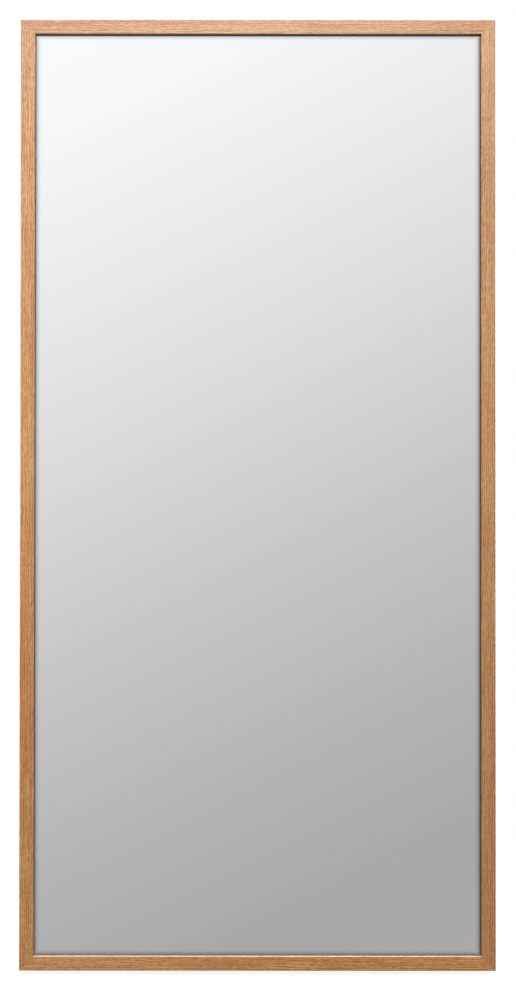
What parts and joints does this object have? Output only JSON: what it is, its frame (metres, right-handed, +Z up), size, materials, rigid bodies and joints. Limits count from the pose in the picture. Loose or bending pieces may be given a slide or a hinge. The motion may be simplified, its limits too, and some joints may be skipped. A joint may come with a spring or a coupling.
{
  "type": "cheval floor mirror",
  "caption": "Full-length floor mirror in a slim mitred oak frame, leaning back on a hinged oak easel leg held by a webbing strap.",
  "frame": {"origin": "middle of the footprint on the floor, under the middle of the overall box", "axes": "+Z up, -Y out of the mirror's face, +X to the right of someone who looks into the mirror"},
  "size_m": [0.8, 0.384, 1.5913],
  "materials": {
    "oak": "oiled light oak",
    "mirror": "silvered float glass",
    "tape": "black foam tape",
    "film": "grey safety film",
    "foam": "closed-cell foam",
    "mdf": "raw MDF",
    "beech": "raw beech",
    "hinge_steel": "bright steel",
    "plated_steel": "zinc plated",
    "screws": "zinc plated",
    "rubber": "matt black",
    "webbing": "woven black webbing"
  },
  "bodies": {
    "mirror": {"back_bead_bottom": "oak", "back_bead_left": "oak", "back_bead_right": "oak", "back_bead_top": "oak", "back_panel": "mdf", "bead_pins": "screws", "bottom_rail": "oak", "corner_brace_bottom_left": "plated_steel", "corner_brace_bottom_right": "plated_steel", "corner_brace_screws": "screws", "corner_brace_top_left": "plated_steel", "corner_brace_top_right": "plated_steel", "foam_sheet": "foam", "frame_foot_left": "rubber", "frame_foot_right": "rubber", "frame_foot_screws": "screws", "frame_strap_plate": "plated_steel", "frame_strap_screws": "screws", "glass_edge_blocks": "rubber", "glazing_tape": "tape", "hinge_fixed_leaf_left": "hinge_steel", "hinge_fixed_leaf_right": "hinge_steel", "hinge_fixed_screws": "screws", "hinge_pin_left": "hinge_steel", "hinge_pin_right": "hinge_steel", "hinge_rail": "oak", "hinge_rail_screws": "screws", "left_stile": "oak", "mirror_glass": "mirror", "mitre_splines": "beech", "right_stile": "oak", "safety_film": "film", "stay_strap": "webbing", "tether_bracket_left": "plated_steel", "tether_bracket_right": "plated_steel", "tether_screws": "screws", "top_rail": "oak"},
    "easel_leg": {"hinge_moving_leaf_left": "hinge_steel", "hinge_moving_leaf_right": "hinge_steel", "hinge_moving_screws": "screws", "leg_dowels": "beech", "leg_foot_bar": "oak", "leg_foot_left": "rubber", "leg_foot_right": "rubber", "leg_foot_screws": "screws", "leg_head_bar": "oak", "leg_left": "oak", "leg_right": "oak", "leg_strap_plate": "plated_steel", "leg_strap_screws": "screws"}
  },
  "joints": [
    {"name": "leg_fold", "type": "hinge", "parent": "mirror", "child": "easel_leg", "pos_m": [0, 0.03005, 1.16744], "axis": [1, 0, 0], "range_deg": [-16, 0], "deforming": ["stay_strap"]}
  ]
}
